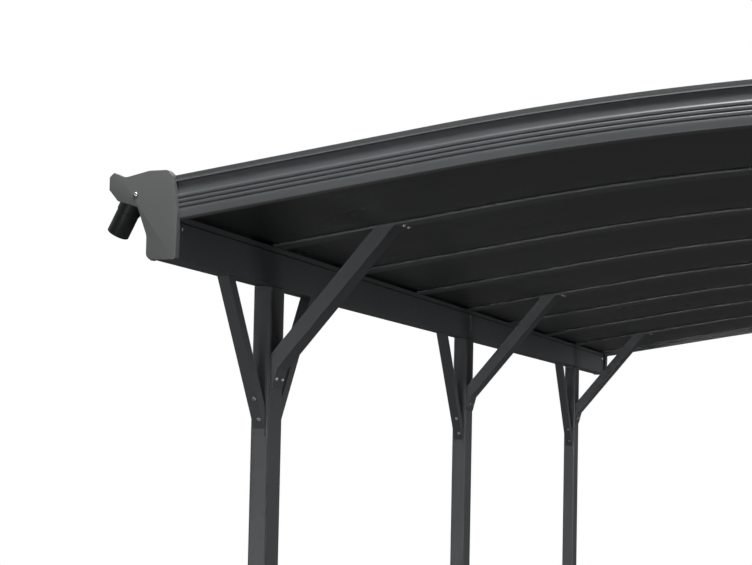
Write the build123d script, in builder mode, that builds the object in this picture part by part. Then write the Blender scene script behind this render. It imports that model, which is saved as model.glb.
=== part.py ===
from build123d import *
import os
from math import cos, radians, sin, tan

os.makedirs("parts", exist_ok=True)

# An open carport. Three posts a side carry a beam and a gutter, and slim arched rafters
# hold dark roof sheets between the two gutters. All sizes are in millimetres.
# The origin is on the ground at the middle: X runs across, Y to the rear and Z up.

# Layout along the length
bay_count = 8
bay_length = 620.0
post_rafters = {"front": 1, "middle": 4, "rear": 7}
arch_overhang = 30.0

# Posts and beams, tubes of one width with bevelled corners
span_half = 1717.0
clear_height = 2060.0
tube_width = 46.0
post_depth = 90.0
beam_height = 85.0
tube_wall = 2.0
tube_corner = 3.5
beam_joint_gap = 0.6

# Base plates with a socket that plugs into the post
plate_thickness = 5.0
plate_width = 106.0
plate_length = 150.0
plate_corner = 10.0
bolt_spacing_x = 76.0
bolt_spacing_y = 120.0
bolt_hole_radius = 5.5
socket_height = 120.0
socket_wall = 3.0
socket_clearance = 0.4

# Roof line: a straight slope at each side and an arc over the middle
roof_slope = 9.26
arc_half_width = 1106.0
rafter_overrun = 12.0
seat_clearance = 0.3

# Rafter section: foot flange, web, clamping bar and crest
foot_width = 70.0
foot_height = 7.0
slot_height = 10.6
web_thickness = 4.0
clamp_width = 50.0
clamp_thickness = 3.0
crest_width = 22.0
crest_height = 24.0

# Roof sheets
sheet_thickness = 10.0
sheet_side_gap = 1.0
sheet_end_gap = 8.0

# Arch at the front and the rear: band, ridges, cove and rim of its moulded face
face_gap = 8.0
arch_end_gap = 15.0
fascia_drop = 15.0
fascia_thickness = 12.5
band_height = 25.0
band_corner = 6.0
band_recess = 1.5
ridge_count = 3
ridge_pitch = 9.8
ridge_recess = 0.8
valley_recess = 3.0
cove_height = 26.5
cove_recess = 8.5
rim_height = 14.0
rim_wall = 3.0
rim_return = 18.0

# Gutter, its end caps and its outlets
gutter_wall = 2.0
gutter_lip_gap = 0.5
trough_open_height = 50.0
trough_lip = 16.0
cap_plate = 4.0
cap_rim_wall = 2.0
cap_rim_depth = 20.0
cap_clearance = 0.3
cap_lap = 12.0
cap_drop = 2.0
skirt_flare = 8.5
ear_rise = 11.0
nose_reach = 96.0
nose_height = 99.0
outlet_radius = 24.0
outlet_wall = 2.5
outlet_collar = 1.5
outlet_collar_length = 6.0
outlet_length = 60.0
outlet_angle = 32.0
outlet_tilt = 11.0
outlet_out = 73.0
outlet_up = 27.0
outlet_setback = 54.0
outlet_clearance = 0.2

# Cross braces, from each post up to the rafter over it
cross_angle = 40.0
cross_drop = 216.0
cross_width = 35.0
cross_depth = 73.0
cross_foot_tab = 28.0
cross_knee_out = 15.0
cross_knee_up = 18.0
cross_head_tab = 46.0
brace_wall = 2.0
tab_thickness = 3.0

# Beam braces, from each post up to the beam
beam_brace_angle = 36.2
beam_brace_drop = 348.0
beam_brace_width = 31.5
beam_brace_depth = 28.0
beam_brace_tab = 14.0
beam_brace_sides = {"front": (-1, 1), "middle": (-1,), "rear": (-1,)}

# Places worked out from the sizes above
sides = {"left": -1, "right": 1}
roof_half = bay_count * bay_length / 2 + arch_overhang
beam_end = roof_half - cap_plate
beam_top = clear_height + beam_height
post_centre = span_half - tube_width / 2
inner_face = span_half - tube_width
bore_width = tube_width - 2 * tube_wall
bore_depth = post_depth - 2 * tube_wall
bore_height = beam_height - 2 * tube_wall
rafter_end = span_half + rafter_overrun
slope_rate = tan(radians(roof_slope))
eaves_line = beam_top + gutter_wall + seat_clearance + (rafter_end - inner_face) * slope_rate
arc_radius = arc_half_width / sin(radians(roof_slope))
spring_height = eaves_line + (inner_face - arc_half_width) * slope_rate
arc_centre = spring_height - arc_radius * cos(radians(roof_slope))
slot_top = foot_height + slot_height
clamp_top = slot_top + clamp_thickness
band_top = band_height - fascia_drop
cove_bottom = band_top + ridge_count * ridge_pitch
cove_top = cove_bottom + cove_height
rim_top = cove_top + rim_height
arch_face = face_gap + cap_plate - arch_overhang
arch_back = arch_face + fascia_thickness
gutter_inset = cap_rim_wall + cap_clearance
cross_foot = clear_height - cross_drop
beam_brace_foot = clear_height - beam_brace_drop
lower_left = (Align.MIN, Align.MIN)
lower_middle = (Align.CENTER, Align.MIN)


def bay_line(number):
    """Where the rafter of this number stands along the length, with 0 at the front arch."""
    return (number - bay_count / 2) * bay_length


def across(y):
    """The upright plane across the carport at y, with X to the right and Z up."""
    return Plane(origin=(0, y, 0), x_dir=(1, 0, 0), z_dir=(0, -1, 0))


def along(x, height=0):
    """The upright plane along the carport at x, with Y to the right and Z up from the height."""
    return Plane(origin=(x, 0, height), x_dir=(0, 1, 0), z_dir=(1, 0, 0))


def finish(piece, name):
    """Labels a piece and writes it to its own file."""
    piece.part.label = name
    export_step(piece.part, f"parts/{name}.step")


def arch_bar(section, reach):
    """Carries a section along the roof line and cuts both ends upright at the reach."""
    steep = radians(roof_slope)
    spring = Plane(
        origin=(arc_half_width, 0, spring_height),
        x_dir=(0, 1, 0),
        z_dir=(cos(steep), 0, -sin(steep)),
    )
    with BuildPart() as bar:
        with BuildSketch(along(0, arc_centre + arc_radius)):
            add(section)
        revolve(axis=Axis((0, 0, arc_centre), (0, 1, 0)), revolution_arc=roof_slope)
        with BuildSketch(spring):
            add(section)
        extrude(amount=(reach - arc_half_width) / cos(steep) + rim_top)
        split(bisect_by=Plane.YZ.offset(reach), keep=Keep.BOTTOM)
        mirror(about=Plane.YZ)
    return bar.part


def rafter_section():
    """Draws the rafter's section, with the roof line at height 0."""
    with BuildSketch() as section:
        Rectangle(foot_width, foot_height, align=lower_middle)
        Rectangle(web_thickness, slot_top, align=lower_middle)
        with Locations((0, slot_top)):
            Rectangle(clamp_width, clamp_thickness, align=lower_middle)
        with Locations((0, clamp_top)):
            Rectangle(crest_width, crest_height, align=lower_middle)
    return section.sketch


def sheet_section(front_edge, rear_edge):
    """Draws a roof sheet from edge to edge, lying in the slots of its two rafters."""
    with BuildSketch() as section:
        with Locations((front_edge, foot_height + seat_clearance)):
            Rectangle(rear_edge - front_edge, sheet_thickness, align=lower_left)
    return section.sketch


def fascia_section():
    """Draws the arch's moulded face from its band at the bottom up to its rim, in facets."""
    valley = arch_face + valley_recess
    band_face = arch_face + band_recess
    crest = arch_face + ridge_recess
    cove_side = arch_face + valley_recess + 0.75 * (cove_recess - valley_recess)
    border = [
        (arch_back, -fascia_drop),
        (band_face + band_corner, -fascia_drop),
        (band_face, -fascia_drop + band_corner),
        (band_face, band_top),
    ]
    for ridge in range(ridge_count):
        low = band_top + ridge * ridge_pitch
        border += [
            (valley, low),
            (crest, low + 0.3 * ridge_pitch),
            (crest, low + 0.7 * ridge_pitch),
        ]
    border += [
        (valley, cove_bottom),
        (cove_side, cove_bottom + 0.2 * cove_height),
        (arch_face + cove_recess, cove_bottom + 0.5 * cove_height),
        (cove_side, cove_top - 0.2 * cove_height),
        (valley, cove_top),
        (arch_face, cove_top),
        (arch_face, rim_top),
        (arch_face + rim_return, rim_top),
        (arch_face + rim_return, rim_top - rim_wall),
        (arch_back, rim_top - rim_wall),
    ]
    with BuildSketch() as section:
        with BuildLine():
            Polyline(*border, close=True)
        make_face()
    return section.sketch


def tongue_section():
    """Draws the half flange and clamping bar behind the arch's face, which hold a sheet."""
    with BuildSketch() as section:
        with Locations((arch_back, 0)):
            Rectangle(foot_width / 2 - arch_back, foot_height, align=lower_left)
            Rectangle(web_thickness, clamp_top, align=lower_left)
        with Locations((arch_back, slot_top)):
            Rectangle(clamp_width / 2 - arch_back, clamp_thickness, align=lower_left)
    return section.sketch


def head_outline(side, inset):
    """Draws the end view of gutter, beam and arch together, drawn in by the inset."""
    ear = eaves_line + rim_top / cos(radians(roof_slope)) + ear_rise - beam_top
    corners = [
        (-tube_width - cap_lap, -beam_height - cap_drop, 6),
        (skirt_flare, -beam_height - cap_drop, 15),
        (skirt_flare, -35, 30),
        (skirt_flare + 22, 25, 5),
        (nose_reach - 20, nose_height - 60, 5),
        (nose_reach, nose_height - 36, 4),
        (nose_reach, nose_height - 9, 5),
        (nose_reach - 10, nose_height + 1, 4),
        (nose_reach - 36, nose_height - 10, 25),
        (5, ear - 1, 40),
        (-37, ear, 12),
        (-50, ear - 13, 8),
        (-tube_width - cap_lap - 2.5, 14, 60),
    ]
    points = [(side * (span_half + out), beam_top + up) for out, up, radius in corners]
    radii = [radius for out, up, radius in corners]
    with BuildSketch() as outline:
        with BuildLine():
            FilletPolyline(*points, radius=radii, close=True)
        make_face()
        if inset:
            offset(amount=-inset, mode=Mode.REPLACE)
    return outline.sketch


def strip(side, out_low, out_high, up_low, up_high, mode=Mode.ADD):
    """Draws a rectangle, measured out from the beam's outer face and up from its top."""
    middle = (side * (span_half + (out_low + out_high) / 2), beam_top + (up_low + up_high) / 2)
    with Locations(middle):
        Rectangle(out_high - out_low, up_high - up_low, mode=mode)


def outlet_plane(side):
    """The plane across an outlet where its axis starts, facing down and outwards."""
    lean = radians(outlet_angle)
    tilt = radians(outlet_tilt)
    axis = Vector(side * sin(lean) * cos(tilt), sin(tilt), -cos(lean) * cos(tilt))
    return Plane(
        origin=(side * (span_half + outlet_out), outlet_setback - roof_half, beam_top + outlet_up),
        x_dir=(0, -axis.Z, axis.Y),
        z_dir=axis,
    )


def cross_edge(start):
    """Where a brace edge that leaves the post at this height meets the roof line."""
    lean = radians(cross_angle)
    run = (eaves_line - start) / (cos(lean) - sin(lean) * slope_rate)
    return (inner_face - run * sin(lean), start + run * cos(lean))


def cross_strip(side, low_start, high_start):
    """Draws the stretch of a cross brace between the edges that start at these heights."""
    corners = [
        (inner_face, low_start),
        cross_edge(low_start),
        cross_edge(high_start),
        (inner_face, high_start),
    ]
    with BuildLine() as border:
        Polyline(*[(side * x, z) for x, z in corners], close=True)
    make_face(border.edges())


def beam_brace_strip(low_start, high_start, face, way):
    """Draws the stretch of a beam brace between the edges that start at these heights."""
    rate = tan(radians(beam_brace_angle))
    corners = [
        (face, low_start),
        (face + way * (clear_height - low_start) * rate, clear_height),
        (face + way * (clear_height - high_start) * rate, clear_height),
        (face, high_start),
    ]
    with BuildLine() as border:
        Polyline(*corners, close=True)
    make_face(border.edges())


# Posts
for side_name, side in sides.items():
    for place, rafter_number in post_rafters.items():
        with BuildPart() as post:
            with BuildSketch(Plane.XY.offset(plate_thickness)) as outline:
                with Locations((side * post_centre, bay_line(rafter_number))):
                    Rectangle(tube_width, post_depth)
                    chamfer(outline.vertices(), length=tube_corner)
                    Rectangle(bore_width, bore_depth, mode=Mode.SUBTRACT)
            extrude(amount=clear_height - plate_thickness)
        finish(post, f"post_{side_name}_{place}")

# Base plates, three on each side
socket_width = bore_width - 2 * socket_clearance
socket_depth = bore_depth - 2 * socket_clearance
for side_name, side in sides.items():
    feet_places = [(side * post_centre, bay_line(number)) for number in post_rafters.values()]
    with BuildPart() as feet:
        with BuildSketch() as plates:
            with Locations(*feet_places):
                Rectangle(plate_width, plate_length)
            chamfer(plates.vertices(), length=plate_corner)
            with Locations(*feet_places):
                with GridLocations(bolt_spacing_x, bolt_spacing_y, 2, 2):
                    Circle(bolt_hole_radius, mode=Mode.SUBTRACT)
        extrude(amount=plate_thickness)
        with BuildSketch(Plane.XY.offset(plate_thickness)):
            with Locations(*feet_places):
                Rectangle(socket_width, socket_depth)
                Rectangle(
                    socket_width - 2 * socket_wall,
                    socket_depth - 2 * socket_wall,
                    mode=Mode.SUBTRACT,
                )
        extrude(amount=socket_height)
    finish(feet, f"feet_{side_name}")

# Beams in two lengths, which meet over the middle post
beam_lengths = {
    "front": (-beam_end, -beam_joint_gap / 2),
    "rear": (beam_joint_gap / 2, beam_end),
}
for side_name, side in sides.items():
    for place, (start, stop) in beam_lengths.items():
        with BuildPart() as beam:
            with BuildSketch(across(start)) as outline:
                with Locations((side * post_centre, clear_height + beam_height / 2)):
                    Rectangle(tube_width, beam_height)
                    chamfer(outline.vertices(), length=tube_corner)
                    Rectangle(bore_width, bore_height, mode=Mode.SUBTRACT)
            extrude(amount=start - stop)
        finish(beam, f"beam_{side_name}_{place}")

# Gutters: a seat on the beam, a leg and skirt down its outer face and an open trough
seat_lip = eaves_line - gutter_lip_gap - beam_top
for side_name, side in sides.items():
    with BuildPart() as gutter:
        with BuildSketch(across(-beam_end)):
            add(head_outline(side, gutter_inset))
            add(head_outline(side, gutter_inset + gutter_wall), mode=Mode.SUBTRACT)
            strip(side, -2 * tube_width, cap_clearance, -2 * beam_height, 2 * nose_height, Mode.SUBTRACT)
            strip(
                side,
                -2 * tube_width,
                nose_reach - trough_lip,
                trough_open_height,
                2 * nose_height,
                Mode.SUBTRACT,
            )
            strip(side, 0, gutter_wall, gutter_inset - beam_height + 6, 0)
            strip(side, -tube_width, gutter_wall - tube_width, 0, seat_lip)
            with BuildSketch(mode=Mode.PRIVATE) as seat:
                add(head_outline(side, gutter_inset))
                strip(side, -tube_width, nose_reach, 0, gutter_wall, Mode.INTERSECT)
            add(seat.sketch)
        extrude(amount=-2 * beam_end)
        with BuildSketch(outlet_plane(side)):
            Circle(outlet_radius - outlet_wall)
        extrude(amount=outlet_radius, both=True, mode=Mode.SUBTRACT)
    finish(gutter, f"gutter_{side_name}")

# End caps of the gutters, a plate over the whole head and a rim round the trough
for side_name, side in sides.items():
    for place, end in (("front", -1), ("rear", 1)):
        with BuildPart() as cap:
            with BuildSketch(across(end * roof_half)):
                add(head_outline(side, 0))
            extrude(amount=end * cap_plate)
            with BuildSketch(across(end * beam_end)):
                add(head_outline(side, 0))
                add(head_outline(side, cap_rim_wall), mode=Mode.SUBTRACT)
                strip(
                    side,
                    -tube_width - cap_clearance,
                    cap_clearance,
                    -2 * beam_height,
                    cap_clearance,
                    Mode.SUBTRACT,
                )
            extrude(amount=end * cap_rim_depth)
        finish(cap, f"gutter_cap_{side_name}_{place}")

# Outlets under the gutter noses, saddled to the trough's floor
for side_name, side in sides.items():
    with BuildPart() as outlet:
        with BuildSketch(outlet_plane(side)):
            Circle(outlet_radius)
        extrude(amount=outlet_length)
        with BuildSketch(outlet_plane(side).offset(-outlet_radius)):
            Circle(outlet_radius + outlet_collar)
        extrude(amount=outlet_radius + outlet_collar_length)
        with BuildSketch(outlet_plane(side).offset(-outlet_radius)):
            Circle(outlet_radius - outlet_wall)
        extrude(amount=outlet_radius + outlet_length, mode=Mode.SUBTRACT)
        with BuildSketch(across(-roof_half)):
            add(head_outline(side, gutter_inset - outlet_clearance))
        extrude(amount=-outlet_setback - 2 * outlet_radius, mode=Mode.SUBTRACT)
    finish(outlet, f"gutter_outlet_{side_name}")

# Arches at both ends, each with its face outwards
with BuildPart() as arch_form:
    add(arch_bar(fascia_section(), inner_face - arch_end_gap))
    add(arch_bar(tongue_section(), rafter_end))
with BuildPart() as front_arch:
    with Locations((0, bay_line(0), 0)):
        add(arch_form.part)
finish(front_arch, "front_arch")
with BuildPart() as rear_arch:
    add(front_arch.part.mirror(Plane.XZ))
finish(rear_arch, "rear_arch")

# Rafters between the arches
rafter_form = arch_bar(rafter_section(), rafter_end)
for number in range(1, bay_count):
    with BuildPart() as rafter:
        with Locations((0, bay_line(number), 0)):
            add(rafter_form)
    finish(rafter, f"rafter_{number}")

# Roof sheets, one in each bay
sheet_edge = web_thickness / 2 + sheet_side_gap
sheet_form = arch_bar(sheet_section(sheet_edge, bay_length - sheet_edge), rafter_end - sheet_end_gap)
for number in range(bay_count):
    with BuildPart() as sheet:
        with Locations((0, bay_line(number), 0)):
            add(sheet_form)
    finish(sheet, f"roof_sheet_{number + 1}")

# Cross braces: a hollow bar with a tab on the post and a tab under the rafter
lean = radians(cross_angle)
upper_start = cross_foot + cross_width / sin(lean)
wall_step = brace_wall / sin(lean)
head_x, head_z = cross_edge(cross_foot)
for side_name, side in sides.items():
    for place, rafter_number in post_rafters.items():
        with BuildPart() as brace:
            with BuildSketch(across(bay_line(rafter_number))):
                cross_strip(side, cross_foot, upper_start)
            extrude(amount=cross_depth / 2, both=True)
            with BuildSketch(across(bay_line(rafter_number))):
                cross_strip(side, cross_foot + wall_step, upper_start - wall_step)
            extrude(amount=cross_depth / 2 - brace_wall, both=True, mode=Mode.SUBTRACT)
            with BuildSketch(across(bay_line(rafter_number))):
                with BuildLine() as tabs:
                    Polyline(
                        (side * inner_face, cross_foot - cross_foot_tab),
                        (side * inner_face, cross_foot + cross_knee_up),
                        (side * (inner_face - cross_knee_out), cross_foot + cross_knee_up),
                        (side * (inner_face - tab_thickness), cross_foot - cross_foot_tab),
                        close=True,
                    )
                    Polyline(
                        (side * (head_x - cross_head_tab), head_z + cross_head_tab * slope_rate),
                        (side * (head_x + cross_width), head_z - cross_width * slope_rate),
                        (side * (head_x + cross_width), head_z - cross_width * slope_rate - tab_thickness),
                        (
                            side * (head_x - cross_head_tab),
                            head_z + cross_head_tab * slope_rate - tab_thickness,
                        ),
                        close=True,
                    )
                make_face(tabs.edges())
            extrude(amount=cross_depth / 2, both=True)
        finish(brace, f"cross_brace_{side_name}_{place}")

# Beam braces: hollow bars beside the posts, each with a tab at its foot
lean = radians(beam_brace_angle)
upper_start = beam_brace_foot + beam_brace_width / sin(lean)
wall_step = brace_wall / sin(lean)
for side_name, side in sides.items():
    with BuildPart() as braces:
        for place, ways in beam_brace_sides.items():
            for way in ways:
                post_face = bay_line(post_rafters[place]) + way * post_depth / 2
                with BuildSketch(along(side * post_centre)):
                    beam_brace_strip(beam_brace_foot, upper_start, post_face, way)
                extrude(amount=beam_brace_depth / 2, both=True)
                with BuildSketch(along(side * post_centre)):
                    beam_brace_strip(
                        beam_brace_foot + wall_step, upper_start - wall_step, post_face, way
                    )
                extrude(amount=beam_brace_depth / 2 - brace_wall, both=True, mode=Mode.SUBTRACT)
                with BuildSketch(along(side * post_centre)):
                    with Locations((post_face + way * tab_thickness / 2, beam_brace_foot)):
                        Rectangle(tab_thickness, 2 * beam_brace_tab)
                extrude(amount=beam_brace_depth / 2, both=True)
    finish(braces, f"beam_braces_{side_name}")
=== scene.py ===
# Carport with a frame of powder-coated aluminium and an arched roof of smoked sheets.
# The packed CAD model is the frame of this scene, and each Operator below dresses
# one kind of piece on it. Lengths in the properties are metres, as in the CAD frame:
# X runs across the carport, Y from the front to the rear and Z up.

from math import cos, pi, radians, sin, tan

import bpy
import numpy as np
from bpy.props import FloatProperty, FloatVectorProperty, IntProperty, PointerProperty
from mathutils import Matrix, Vector


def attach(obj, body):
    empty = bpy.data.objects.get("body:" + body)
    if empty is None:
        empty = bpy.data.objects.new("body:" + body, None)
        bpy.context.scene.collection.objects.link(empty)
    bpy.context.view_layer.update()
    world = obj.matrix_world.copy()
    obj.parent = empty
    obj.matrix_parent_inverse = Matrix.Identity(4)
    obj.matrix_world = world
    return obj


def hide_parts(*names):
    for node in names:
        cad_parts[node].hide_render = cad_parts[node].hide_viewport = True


bl_info = {
    "name": "Arched carport",
    "version": (1, 0, 0),
    "blender": (4, 5, 0),
    "location": "3D View > Sidebar > Carport",
    "description": "Dresses the frame, roof, gutters and fixings of an arched carport",
    "category": "Object",
}

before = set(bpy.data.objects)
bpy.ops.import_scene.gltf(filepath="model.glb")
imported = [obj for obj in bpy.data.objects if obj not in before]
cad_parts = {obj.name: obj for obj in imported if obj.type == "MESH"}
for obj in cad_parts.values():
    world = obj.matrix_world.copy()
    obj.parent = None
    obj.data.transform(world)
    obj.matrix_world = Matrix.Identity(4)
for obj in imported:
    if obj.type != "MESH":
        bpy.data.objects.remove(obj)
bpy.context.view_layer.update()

SIDES = {"left": -1, "right": 1}
ENDS = {"front": -1, "rear": 1}
POST_LINES = {"front": -1.860, "middle": 0.0, "rear": 1.860}
BEAM_BRACE_WAYS = {"front": (-1, 1), "middle": (-1,), "rear": (-1,)}
ROOF_STEPS = 96
CORNER_STEPS = 8


def linear(hex_colour):
    """Turns an sRGB hex colour such as #44484b into linear red, green and blue."""
    channels = np.array([int(hex_colour[at : at + 2], 16) for at in (1, 3, 5)]) / 255.0
    low = channels / 12.92
    high = ((channels + 0.055) / 1.055) ** 2.4
    return tuple(float(value) for value in np.where(channels <= 0.04045, low, high))


def length(name, description, default):
    """A length in metres that a user may change."""
    return FloatProperty(name=name, description=description, default=default, unit="LENGTH")


def colour(name, description, default):
    """A colour that a user may change, given as an sRGB hex value."""
    return FloatVectorProperty(
        name=name, description=description, default=linear(default), subtype="COLOR", min=0.0, max=1.0
    )


class CarportRoofSizes(bpy.types.PropertyGroup):
    """Where the roof line runs, and the section of its rafters."""

    inner_face: length("Inner face", "From the middle to the inner face of a beam", 1.671)
    span_half: length("Outer face", "From the middle to the outer face of a beam", 1.717)
    arc_half: length("Arc half width", "Half the width of the roof's curved middle", 1.106)
    eaves: length("Eaves height", "Height of the roof line over a beam's inner face", 2.156757)
    slope: FloatProperty(
        name="Slope", description="Slope beside the arc", default=radians(9.26), subtype="ANGLE"
    )
    bay: length("Bay", "From one rafter to the next", 0.620)
    flange_width: length("Flange width", "Width of a rafter's foot flange", 0.070)
    flange_height: length("Flange height", "Thickness of a rafter's foot flange", 0.007)
    clamp_width: length("Clamp width", "Width of the bar that holds the sheets down", 0.050)
    clamp_top: length("Clamp top", "Top of the clamping bar over the roof line", 0.0206)
    sheet_low: length("Sheet underside", "Underside of a sheet over the roof line", 0.0073)
    sheet_thickness: length("Sheet thickness", "Thickness of a roof sheet", 0.010)
    web: length("Web", "Thickness of a rafter's web", 0.004)
    crest_width: length("Crest width", "Width of a rafter's crest", 0.022)
    crest_height: length("Crest height", "Height of a rafter's crest over its clamping bar", 0.024)
    sheet_gap: length("Sheet gap", "Gap between a sheet's edge and a rafter's web", 0.001)
    sheet_reach: length("Sheet reach", "From the middle to a sheet's end", 1.721)
    rafter_reach: length("Rafter reach", "From the middle to a rafter's end", 1.729)


class CarportMouldingSizes(bpy.types.PropertyGroup):
    """The section of the moulded face on the two arches."""

    face: length("Face", "From the end rafter line out to the moulding's face", 0.018)
    thickness: length("Thickness", "From the moulding's face to its back", 0.0125)
    drop: length("Drop", "How far the face hangs below the roof line", 0.015)
    band: length("Band", "Height of the plain band at the bottom", 0.025)
    band_corner: length("Band corner", "Radius along the band's lower edge", 0.006)
    ridge_pitch: length("Ridge pitch", "From one rounded ridge to the next", 0.0098)
    ridges: IntProperty(name="Ridges", description="Number of rounded ridges", default=3)
    valley: length("Valley", "Depth of the valleys between the ridges", 0.0028)
    cove: length("Cove", "Height of the hollow over the ridges", 0.0265)
    cove_depth: length("Cove depth", "Depth of the hollow", 0.0072)
    rim: length("Rim", "Height of the rim at the top", 0.014)
    rim_hollow: length("Rim hollow", "Depth of the shallow hollow in the rim", 0.0012)
    rim_return: length("Rim return", "How far the rim runs back over the roof", 0.018)
    end_gap: length("End gap", "Gap between the moulding's end and the beam", 0.015)


class CarportGutterSizes(bpy.types.PropertyGroup):
    """The end view of a gutter head, and its outlet."""

    roof_half: length("Half length", "From the middle to the outside of an end cap", 2.510)
    beam_top: length("Beam top", "Height of a beam's top", 2.145)
    nose_reach: length("Nose reach", "How far the nose stands out from the beam", 0.096)
    nose_height: length("Nose height", "Height of the nose over the beam", 0.099)
    flare: length("Skirt flare", "How far the skirt stands out at its foot", 0.0085)
    ear: length("Ear height", "Height of the cap's ear over the beam", 0.1037)
    cap_plate: length("Cap plate", "Thickness of an end cap's plate", 0.004)
    cap_rim: length("Cap rim", "Wall of the rim behind an end cap's plate", 0.002)
    cap_depth: length("Cap depth", "Depth of an end cap over all", 0.020)
    cap_edge: length("Cap edge", "Radius along the outer edge of an end cap", 0.0015)
    outlet_radius: length("Outlet radius", "Outer radius of a rain outlet", 0.024)
    outlet_wall: length("Outlet wall", "Wall of a rain outlet", 0.0025)
    outlet_length: length("Outlet length", "Length of an outlet below the nose", 0.060)
    outlet_out: length("Outlet place", "From the beam out to where an outlet's axis starts", 0.073)
    outlet_up: length("Outlet height", "Height of that place over the beam", 0.027)
    outlet_setback: length("Outlet setback", "From an end cap to an outlet's axis", 0.054)
    outlet_lean: FloatProperty(
        name="Outlet lean", description="Outlet's lean outwards", default=radians(32.0), subtype="ANGLE"
    )
    outlet_tilt: FloatProperty(
        name="Outlet tilt", description="Outlet's tilt to the rear", default=radians(11.0), subtype="ANGLE"
    )


class CarportScrewSizes(bpy.types.PropertyGroup):
    """Heads of the screws and anchors."""

    head_radius: length("Head radius", "Radius of a pan head", 0.0055)
    head_height: length("Head height", "Height of a pan head", 0.0030)
    washer_radius: length("Washer radius", "Radius of a washer under an anchor nut", 0.010)
    nut_radius: length("Nut radius", "Radius to the corners of an anchor nut", 0.0085)
    clamp_spacing: length("Clamp spacing", "From one clamping screw to the next", 0.330)


class CarportFinishes(bpy.types.PropertyGroup):
    """Colours of the finishes."""

    coat: colour("Frame coat", "Anthracite powder coat of posts, beams and braces", "#484b4e")
    coat_light: colour("Frame coat, worn", "Powder coat where it is chalked or dusty", "#4d5052")
    arch_coat: colour("Arch coat", "Anthracite powder coat of the mouldings", "#434647")
    rafter_coat: colour("Rafter coat", "Anthracite powder coat of the rafters", "#484b4d")
    gutter_coat: colour("Gutter coat", "Anthracite powder coat of the gutters", "#45484a")
    sheet: colour("Roof sheet", "Smoked polycarbonate", "#181a1c")
    cap: colour("End cap", "Grey moulded plastic of the gutter's end caps", "#535454")
    outlet: colour("Outlet", "Black moulded plastic of the rain outlets", "#222425")
    tape: colour("Sheet tape", "Aluminium tape over the open ends of the sheets", "#8d8f90")
    # The joint strip is simply coloured a lighter grey than the frame coat.
    joint: colour("Joint strip", "Lighter grey coat of the strip over a beam joint", "#7c8082")
    zinc: colour("Anchor", "Zinc plated steel of the ground anchors", "#b9bab8")
    gasket: colour("Gasket", "Black rubber of the seals", "#141516")
    screw: colour("Screw", "Stainless steel of the screws", "#c9cac8")
    plate: colour("Base plate", "Coated steel of the base plates", "#43474a")
    floor: colour("Floor", "Pale studio floor", "#e9e9e7")


class CarportStudio(bpy.types.PropertyGroup):
    """Camera, light and floor."""

    lens: FloatProperty(name="Lens", description="Focal length in millimetres", default=88.9)
    eye: FloatVectorProperty(
        name="Eye", description="Where the camera stands", default=(-0.0771, -6.1070, 1.6521), subtype="XYZ"
    )
    yaw: FloatProperty(name="Yaw", description="Turn to the left", default=0.2453, subtype="ANGLE")
    pitch: FloatProperty(name="Pitch", description="Tilt up", default=0.0586, subtype="ANGLE")
    roll: FloatProperty(name="Roll", description="Roll to the right", default=0.017, subtype="ANGLE")
    shift: FloatVectorProperty(
        name="Shift", description="Shift of the view, in frame widths", size=2, default=(-0.15, 0.09)
    )
    sky: FloatProperty(name="Sky", description="Strength of the soft light from above", default=0.30)
    horizon: FloatProperty(name="Horizon", description="Strength of the light from the side", default=0.04)
    glow: FloatProperty(name="Glow", description="Strength of the light off the floor", default=0.09)
    key: FloatProperty(name="Key", description="Power of the light above the front", default=980.0)
    fill: FloatProperty(name="Fill", description="Power of the light low in front", default=16.0)
    side: FloatProperty(name="Side", description="Power of the light low at the right", default=370.0)


PROPERTY_GROUPS = {
    "carport_roof": CarportRoofSizes,
    "carport_moulding": CarportMouldingSizes,
    "carport_gutter": CarportGutterSizes,
    "carport_screw": CarportScrewSizes,
    "carport_finish": CarportFinishes,
    "carport_studio": CarportStudio,
}


def make_piece(name, parts, material, smooth_angle=radians(32)):
    """Joins (points, faces) parts into one mesh object that rides on the root body."""
    points, faces, offset = [], [], 0
    for part_points, part_faces in parts:
        part_points = np.asarray(part_points, dtype=float).reshape(-1, 3)
        points.append(part_points)
        faces.extend([[index + offset for index in face] for face in part_faces])
        offset += len(part_points)
    mesh = bpy.data.meshes.new(name)
    mesh.from_pydata(np.concatenate(points).tolist(), [], faces)
    mesh.validate()
    mesh.materials.append(material)
    mesh.shade_smooth()
    mesh.set_sharp_from_angle(angle=smooth_angle)
    piece = bpy.data.objects.new(name, mesh)
    bpy.context.scene.collection.objects.link(piece)
    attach(piece, "root")
    return piece


def tube(grid, closed_along=False):
    """Faces of a closed section carried along a path.

    grid[i, j] is point j of the section at station i. Quads join neighbours in both
    directions, and a flat face closes each end unless the path closes on itself.
    """
    stations, around = grid.shape[:2]
    index = np.arange(stations * around).reshape(stations, around)
    here = index if closed_along else index[:-1]
    ahead = np.roll(index, -1, axis=0) if closed_along else index[1:]
    quads = np.stack(
        [here, np.roll(here, -1, axis=1), np.roll(ahead, -1, axis=1), ahead], axis=-1
    ).reshape(-1, 4)
    faces = quads.tolist()
    if not closed_along:
        faces.append(index[0][::-1].tolist())
        faces.append(index[-1].tolist())
    return outwards(grid.reshape(-1, 3), faces)


def tube_on(x, y, z, closed_along=False):
    """A tube on the grid that x, y and z span together, each repeated where it has one row or column."""
    return tube(np.stack(np.broadcast_arrays(x, y, z), axis=-1), closed_along)


def outwards(points, faces):
    """Turns all faces round if the closed surface holds a negative volume.

    The volume is the sum over the fan triangles (a, b, c) of a . (b x c) / 6.
    """
    volume = 0.0
    for size in {len(face) for face in faces}:
        loops = np.array([face for face in faces if len(face) == size])
        first = points[loops[:, 0]][:, None]
        second, third = points[loops[:, 1:-1]], points[loops[:, 2:]]
        volume += np.sum(first * np.cross(second, third)) / 6.0
    if volume < 0:
        faces = [face[::-1] for face in faces]
    return points, faces


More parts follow.
